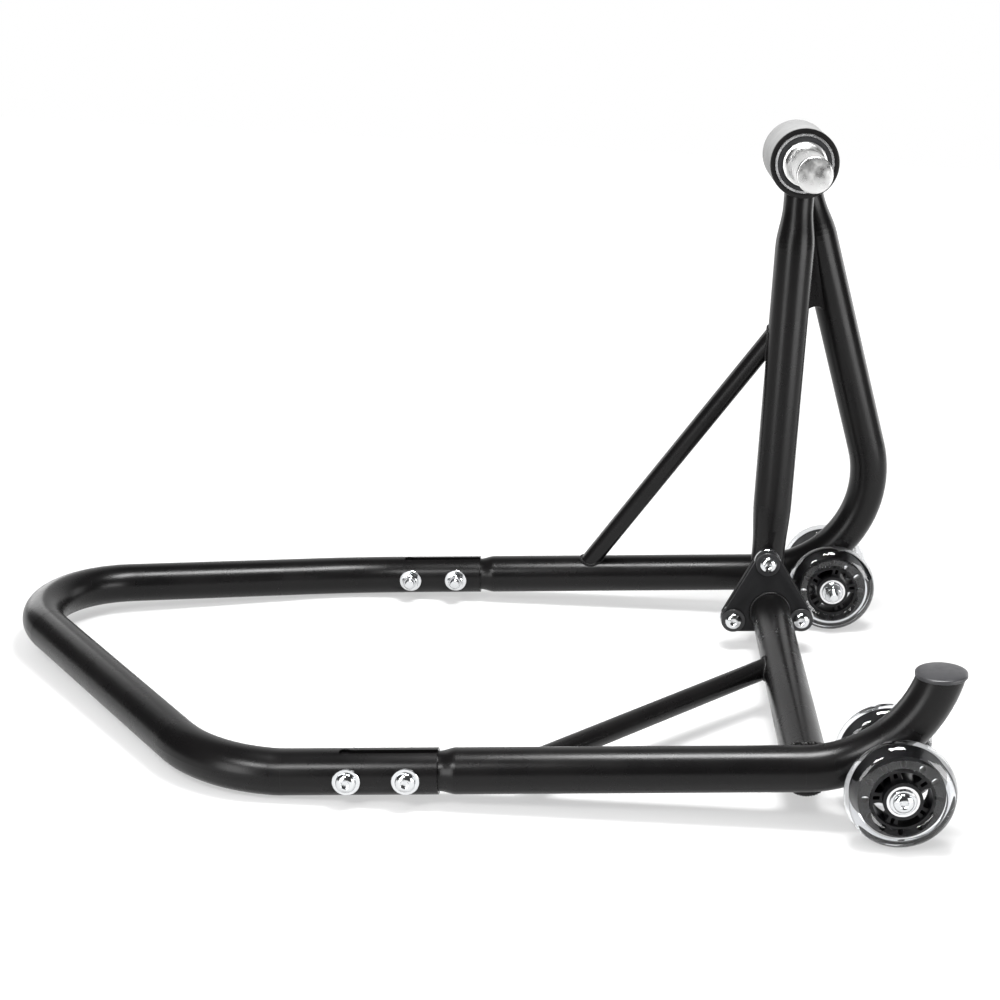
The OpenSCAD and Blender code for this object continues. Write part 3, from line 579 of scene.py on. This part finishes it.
far_a, far_b = Vector((-300, HALF_TRACK, 0)), Vector((-60, HALF_TRACK, 0))
near_a, near_b = Vector((-300, -HALF_TRACK, 0)), Vector((-60, -HALF_TRACK, 0))
cross_a = Vector((CROSS_X, -HALF_TRACK, CROSS_Z))
cross_b = Vector((CROSS_X, FLANGE_FRONT, CROSS_Z))
near_brace = Vector((-260.5, -HALF_TRACK, 0)), Vector((CROSS_X, -5, CROSS_Z))
far_brace = Vector((-221.5, HALF_TRACK, 0)), Vector((-45.8, 143, 242))
back_dir = Vector((math.cos(BACK_TURN), -math.sin(BACK_TURN) * math.sin(BACK_LEAN),
                   math.sin(BACK_TURN) * math.cos(BACK_LEAN)))
corner = Vector((BEND_START + BEND_R * math.tan(BACK_TURN / 2), HALF_TRACK, 0))
back_top = corner + back_dir * (HUB_Z / back_dir.z)
hub_a = Vector((HUB_X, HUB_FRONT, HUB_Z))
hub_b = Vector((HUB_X, HUB_FRONT + HUB_LEN, HUB_Z))
front_dir = (FRONT_TOP - FRONT_FOOT).normalized()

welds = Shape()
near_tube, far_tube = in_tube(near_a, near_b, TUBE_R), in_tube(far_a, far_b, TUBE_R)
for brace, low_end, high_end in (
        (near_brace, near_tube, in_tube(cross_a, cross_b, TUBE_R)),
        (far_brace, far_tube, in_tube(FRONT_FOOT, FRONT_TOP, TUBE_R))):
    middle = (brace[0] + brace[1]) / 2
    seam(welds, middle, brace[0], BRACE_R, low_end, BRACE_BEAD)
    seam(welds, middle, brace[1], BRACE_R, high_end, BRACE_BEAD)
middle = (cross_a + cross_b) / 2
seam(welds, middle, cross_a, TUBE_R, near_tube, CROSS_BEAD)
seam(welds, middle, cross_b + Vector((0, 5, 0)), TUBE_R, lambda p: p.y > FLANGE_FRONT, END_BEAD)
for top, low in ((FRONT_TOP, FRONT_FOOT), (back_top, corner)):
    start = top + (low - top).normalized() * 45
    seam(welds, start, top, NECK_R, in_tube(hub_a, hub_b, HUB_TUBE_R), END_BEAD)


# The axle bushes meet the rear bends along a loop that runs up one side of the tube and back down
# the other.

def bush_point(t):
    return Vector((BUSH_R * math.cos(t), 0, BUSH_R * math.sin(t) - AXLE_DROP))


centre = Vector((BEND_START, 0, BEND_R))
spread = [i / 60 for i in range(61)]
towards = math.atan2(BEND_R + AXLE_DROP, BEND_START)
widest = crossing(Vector((0, 0, 0)), Vector((1, 0, 0)),
                  lambda p: (bush_point(towards + p.x) - centre).length - BEND_R > TUBE_R,
                  math.pi)
for side in (-1, 1):
    loop, outs = [], []
    for sign in (1, -1):
        for s in (spread if sign > 0 else reversed(spread[1:-1])):
            t = towards + widest * math.sin(math.pi * (s - 0.5)) * 0.999
            p = bush_point(t)
            off = (p - centre).length - BEND_R
            across = math.sqrt(max(TUBE_R ** 2 - off ** 2, 0.0))
            loop.append(p + Vector((0, side * HALF_TRACK + sign * across, 0)))
            outs.append(Vector((math.cos(t), 0, math.sin(t))))
    add_bead(welds, loop, outs, BUSH_BEAD)

# The front leg stands against the back of the rear flange plate, with a bead on each side.
plate_back = FLANGE_FRONT + PLATE_T + SPACER_T + REAR_PLATE_T
for x_side in (-1, 1):
    path, outs = [], []
    for i in range(33):
        z = -14 + i * 62 / 32
        r = FOOT_R + (TUBE_R - FOOT_R) * min(max((z - FOOT_FROM) / FOOT_TAPER, 0), 1)
        middle = FRONT_FOOT + front_dir * (z / front_dir.z)
        gap = middle.y - plate_back
        path.append(Vector((middle.x + x_side * math.sqrt(max(r * r - gap * gap, 1.0)),
                            middle.y - gap, z)))
        outs.append(Vector((x_side, 0.6, 0)))
    add_bead(welds, path, outs, FOOT_BEAD, closed=False)

# The gusset has a bead on each face where it meets each leg.
normal = (back_top - FRONT_FOOT).cross(FRONT_TOP - FRONT_FOOT).normalized()
for base, axis, other in ((FRONT_FOOT, front_dir, corner), (corner, back_dir, FRONT_FOOT)):
    inward = (other - base) - axis * (other - base).dot(axis)
    inward = inward.normalized()
    for sign in (-1, 1):
        path, outs = [], []
        for i in range(40):
            z = 256 + i * 60 / 39
            p = base + axis * (z / axis.z)
            neck = min(max((z - NECK_FROM) / NECK_TAPER, 0), 1)
            r = TUBE_R + (NECK_R - TUBE_R) * neck
            path.append(p + inward * math.sqrt(r * r - 4) + normal * 2 * sign)
            outs.append(normal * sign)
        add_bead(welds, path, outs, GUSSET_BEAD, closed=False)
welds.piece("weld_beads", "powder_coat", "root", sharp=70.0)


# ---- The rest of the CAD nodes keep their shapes ----

slot_of = {s["node"]: s["material_slot"] for s in frame["record"]["subparts"]}
for name, node in frame["nodes"].items():
    node.data.materials.clear()
    node.data.materials.append(FINISHES[slot_of[name]].material)


# ---- Floor, light and camera ----

# In metres. A softbox is its place, target, width, height and radiance.
FLOOR_SIDE, FLOOR_FRONT, FLOOR_BACK, FLOOR_GAP = 3.0, -2.0, 4.0, 0.0002
# The floor's own glow is painted light: FLOOR_GLOW within GLOW_FROM metres of the origin, rising
# to FAR_GLOW beyond GLOW_TO.
FLOOR_GLOW, FAR_GLOW = 0.45, 0.85
GLOW_FROM, GLOW_TO = 0.45, 1.6
ROOM_FRONT, ROOM_BACK = 0.05, 1.0
FILL_STRENGTH, FILL_ANGLE, FILL_DIRECTION = 2.0, 60.0, (0.1, 0.1, -1.0)
SOFTBOXES = {
    "overhead_softbox": ((0.2, -0.15, 1.1), (0.2, -0.15, 0.0), 0.45, 0.3, 52.0),
    "left_softbox": ((-0.45, -1.0, 0.95), (-0.2, -0.2, 0.0), 0.4, 0.3, 30.0),
    "left_screen": ((-0.8, -1.3, 0.3), (0.2, 0.0, 0.3), 0.55, 0.9, 8.0),
    "right_screen": ((1.5, -0.9, 0.3), (0.25, 0.0, 0.3), 1.0, 0.9, 8.0),
    "back_left_screen": ((-1.1, 1.3, 0.5), (0.0, 0.0, 0.2), 0.7, 0.9, 2.5),
    "back_right_screen": ((1.4, 1.1, 0.5), (0.2, 0.0, 0.2), 0.7, 0.9, 2.5),
}
# The camera's place is in millimetres in the stand's plane, and its turns are from straight ahead.
CAMERA_PLACE = Vector((-186.34, -1331.9, 537.1))
CAMERA_YAW, CAMERA_PITCH, CAMERA_ROLL = (math.radians(v) for v in (-0.61, 16.98, 0.61))
CAMERA_LENS, CAMERA_SENSOR, CAMERA_SHIFT_X, CAMERA_CLIP = 65.28, 36.0, -0.1, 100.0

floor_mesh = bpy.data.meshes.new("floor")
level = cad_low.z - FLOOR_GAP
floor_mesh.from_pydata([(-FLOOR_SIDE, FLOOR_FRONT, level), (FLOOR_SIDE, FLOOR_FRONT, level),
                        (FLOOR_SIDE, FLOOR_BACK, level), (-FLOOR_SIDE, FLOOR_BACK, level)],
                       [], [(0, 1, 2, 3)])
floor = bpy.data.objects.new("floor", floor_mesh)
bpy.context.scene.collection.objects.link(floor)
# A mid-grey floor that glows as well as reflecting. The emission is painted light: it lightens the
# cast shadows near the stand and keeps the far floor white where the lamps fall off.
glowing_floor_finish = Finish("glowing_floor", (0.35, 0.35, 0.35), 0.9, Specular_IOR_Level=0.1)
glowing_floor_finish.roughness(glowing_floor_finish.noise(3.0), 0.85, 0.95)
glowing_floor_finish.set(glowing_floor_finish.shader, "Emission Color", (1.0, 1.0, 1.0, 1.0))
away = glowing_floor_finish.nodes.new("ShaderNodeVectorMath")
away.operation = "LENGTH"
glowing_floor_finish.links.new(glowing_floor_finish.place, away.inputs[0])
glow = glowing_floor_finish.between(away.outputs["Value"], FLOOR_GLOW, FAR_GLOW, GLOW_FROM, GLOW_TO)
glowing_floor_finish.links.new(glow, glowing_floor_finish.shader.inputs["Emission Strength"])
floor_mesh.materials.append(glowing_floor_finish.material)

# The camera sees a white room; the metal sees one that is dark in front and bright behind.
world = bpy.data.worlds.new("studio")
bpy.context.scene.world = world
world.use_nodes = True
nodes, links = world.node_tree.nodes, world.node_tree.links
background = nodes["Background"]
direction = nodes.new("ShaderNodeSeparateXYZ")
links.new(nodes.new("ShaderNodeTexCoord").outputs["Generated"], direction.inputs[0])
room = nodes.new("ShaderNodeMapRange")
room.interpolation_type = "SMOOTHSTEP"
for socket, value in (("From Min", 0.5), ("From Max", 0.9),
                      ("To Min", ROOM_FRONT), ("To Max", ROOM_BACK)):
    room.inputs[socket].default_value = value
links.new(direction.outputs["Y"], room.inputs["Value"])
rays = nodes.new("ShaderNodeLightPath")
mix = nodes.new("ShaderNodeMapRange")
mix.inputs["To Max"].default_value = 1.0
links.new(rays.outputs["Is Camera Ray"], mix.inputs["Value"])
links.new(room.outputs["Result"], mix.inputs["To Min"])
links.new(mix.outputs["Result"], background.inputs["Strength"])
background.inputs["Color"].default_value = (1.0, 1.0, 1.0, 1.0)


def lamp(name, kind, place, direction):
    light = bpy.data.lights.new(name, kind)
    holder = bpy.data.objects.new(name, light)
    holder.location = place
    holder.rotation_euler = Vector(direction).to_track_quat("-Z", "Y").to_euler()
    bpy.context.scene.collection.objects.link(holder)
    return holder


fill = lamp("fill", "SUN", (0, 0, 2), FILL_DIRECTION)
fill.data.energy = FILL_STRENGTH
fill.data.angle = math.radians(FILL_ANGLE)
fill.visible_glossy = False
for name, (place, target, width, height, radiance) in SOFTBOXES.items():
    box = lamp(name, "AREA", place, Vector(target) - Vector(place))
    box.data.shape = "RECTANGLE"
    box.data.size, box.data.size_y = width, height
    box.data.energy = radiance * math.pi * width * height

forward = Vector((math.sin(CAMERA_YAW) * math.cos(CAMERA_PITCH),
                  math.cos(CAMERA_YAW) * math.cos(CAMERA_PITCH), -math.sin(CAMERA_PITCH)))
level_right = Vector((math.cos(CAMERA_YAW), -math.sin(CAMERA_YAW), 0))
level_down = forward.cross(level_right)
right = level_right * math.cos(CAMERA_ROLL) + level_down * math.sin(CAMERA_ROLL)
down = level_down * math.cos(CAMERA_ROLL) - level_right * math.sin(CAMERA_ROLL)
turn = Matrix((right, -down, -forward)).transposed().to_4x4()
camera = bpy.data.objects.new("camera", bpy.data.cameras.new("camera"))
camera.matrix_world = (Matrix.Translation(PLANE @ CAMERA_PLACE)
                       @ Matrix.Rotation(rise, 4, "Y") @ turn)
camera.data.lens = CAMERA_LENS
camera.data.sensor_width = CAMERA_SENSOR
camera.data.shift_x = CAMERA_SHIFT_X
camera.data.clip_end = CAMERA_CLIP
bpy.context.scene.collection.objects.link(camera)
bpy.context.scene.camera = camera
bpy.context.scene.view_settings.view_transform = "Standard"
